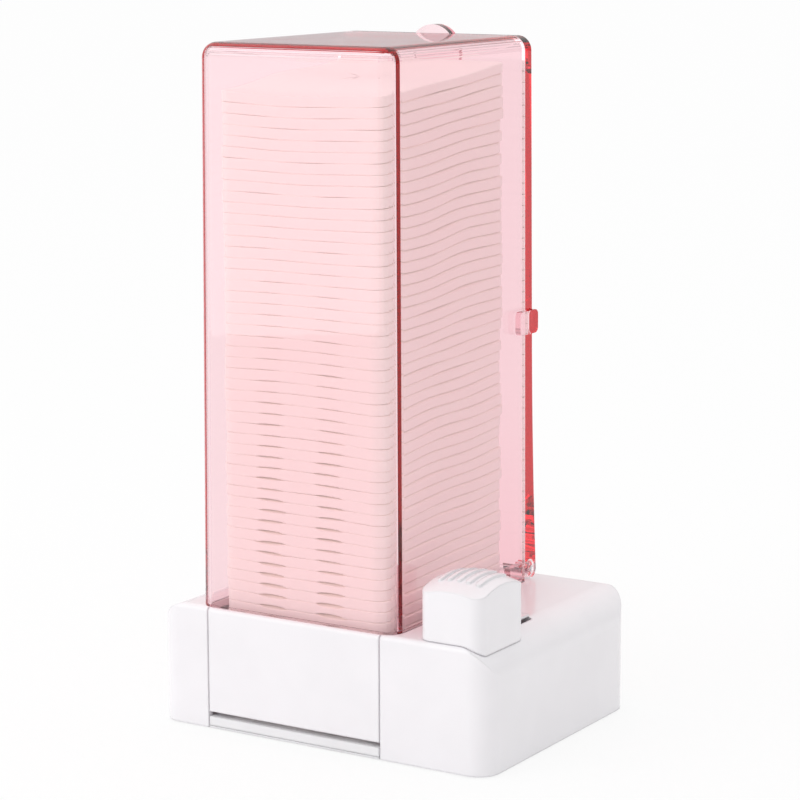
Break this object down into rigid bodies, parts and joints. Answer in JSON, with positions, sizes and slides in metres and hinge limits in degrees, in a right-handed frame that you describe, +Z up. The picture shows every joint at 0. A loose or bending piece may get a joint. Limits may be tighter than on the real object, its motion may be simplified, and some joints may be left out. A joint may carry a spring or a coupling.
{
  "type": "cotton pad holder",
  "caption": "Upright dispenser for square cotton pads: a translucent pink magazine with a rear door on a white base, whose sliding knob feeds the lowest pad out of a front slot.",
  "frame": {"origin": "on the table, under the middle of the base's bounding box", "axes": "+Z up, -Y towards the user (the side with the pad slot), +X towards the end with the knob"},
  "size_m": [0.1024, 0.0788, 0.1853],
  "materials": {
    "white_gloss_plastic": "semi-gloss moulded ABS",
    "white_satin_plastic": "satin moulded ABS",
    "pink_clear_plastic": "clear tinted polystyrene, polished",
    "cotton": "soft cotton fleece",
    "grey_rubber": "matte",
    "zinc_steel": "zinc-plated"
  },
  "bodies": {
    "base": {"base_housing": "white_gloss_plastic", "base_plate": "white_satin_plastic", "front_gate": "white_gloss_plastic", "pad_tray": "white_satin_plastic", "pad_chute": "white_satin_plastic", "magazine_box": "pink_clear_plastic", "cotton_pad_stack": "cotton", "foot_front_left": "grey_rubber", "foot_front_right": "grey_rubber", "foot_rear_left": "grey_rubber", "foot_rear_right": "grey_rubber", "housing_screws": "zinc_steel", "chute_screws": "zinc_steel"},
    "door": {"rear_door": "pink_clear_plastic", "hinge_pin_left": "zinc_steel", "hinge_pin_right": "zinc_steel"},
    "slider": {"slider_knob": "white_gloss_plastic", "slider_carriage": "white_satin_plastic", "pusher_blade": "white_satin_plastic", "knob_screw": "zinc_steel", "blade_screws": "zinc_steel"}
  },
  "joints": [
    {"name": "knob_slide", "type": "slide", "parent": "base", "child": "slider", "axis": [0, 1, 0], "range_m": [0, 0.024]},
    {"name": "door_hinge", "type": "hinge", "parent": "base", "child": "door", "pos_m": [-0.0074, 0.0324, 0.0364], "axis": [-1, 0, 0], "range_deg": [0, 92]}
  ]
}
